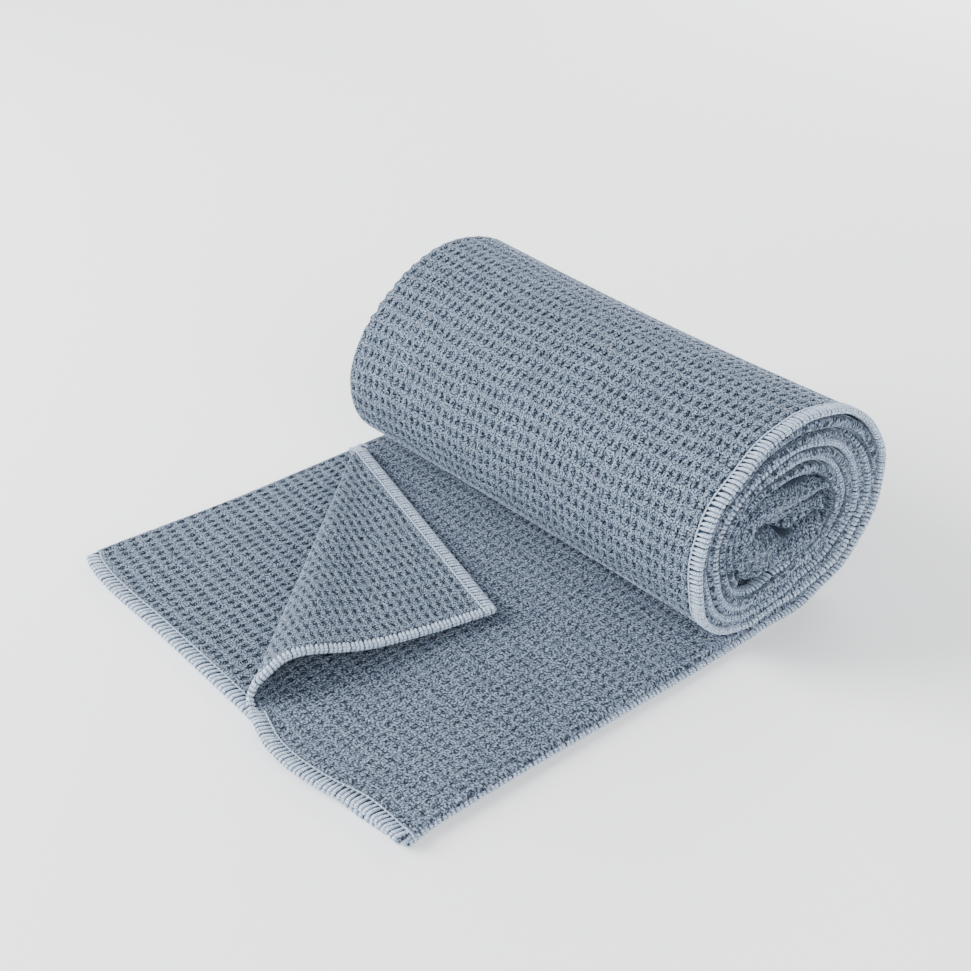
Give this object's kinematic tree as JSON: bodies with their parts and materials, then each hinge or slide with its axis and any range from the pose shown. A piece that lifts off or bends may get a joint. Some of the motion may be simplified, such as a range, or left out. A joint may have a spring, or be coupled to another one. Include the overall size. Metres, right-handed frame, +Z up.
{
  "type": "rolled yoga towel",
  "caption": "Waffle cloth yoga towel, folded in three and rolled up from one end, with a flat tail whose top corner is turned over.",
  "frame": {"origin": "centre of the bounding box at the bottom, on the surface that the towel lies on", "axes": "+X along the roll towards its open right end, +Y from the flat tail's hem towards the roll, +Z up"},
  "size_m": [0.2054, 0.2504, 0.0935],
  "materials": {
    "towel_cloth": "grey-blue waffle-knit microfibre, matt and slightly fuzzy",
    "edge_thread": "light blue-grey overlock thread, matt"
  },
  "bodies": {
    "root": {"towel": "towel_cloth"}
  },
  "joints": []
}
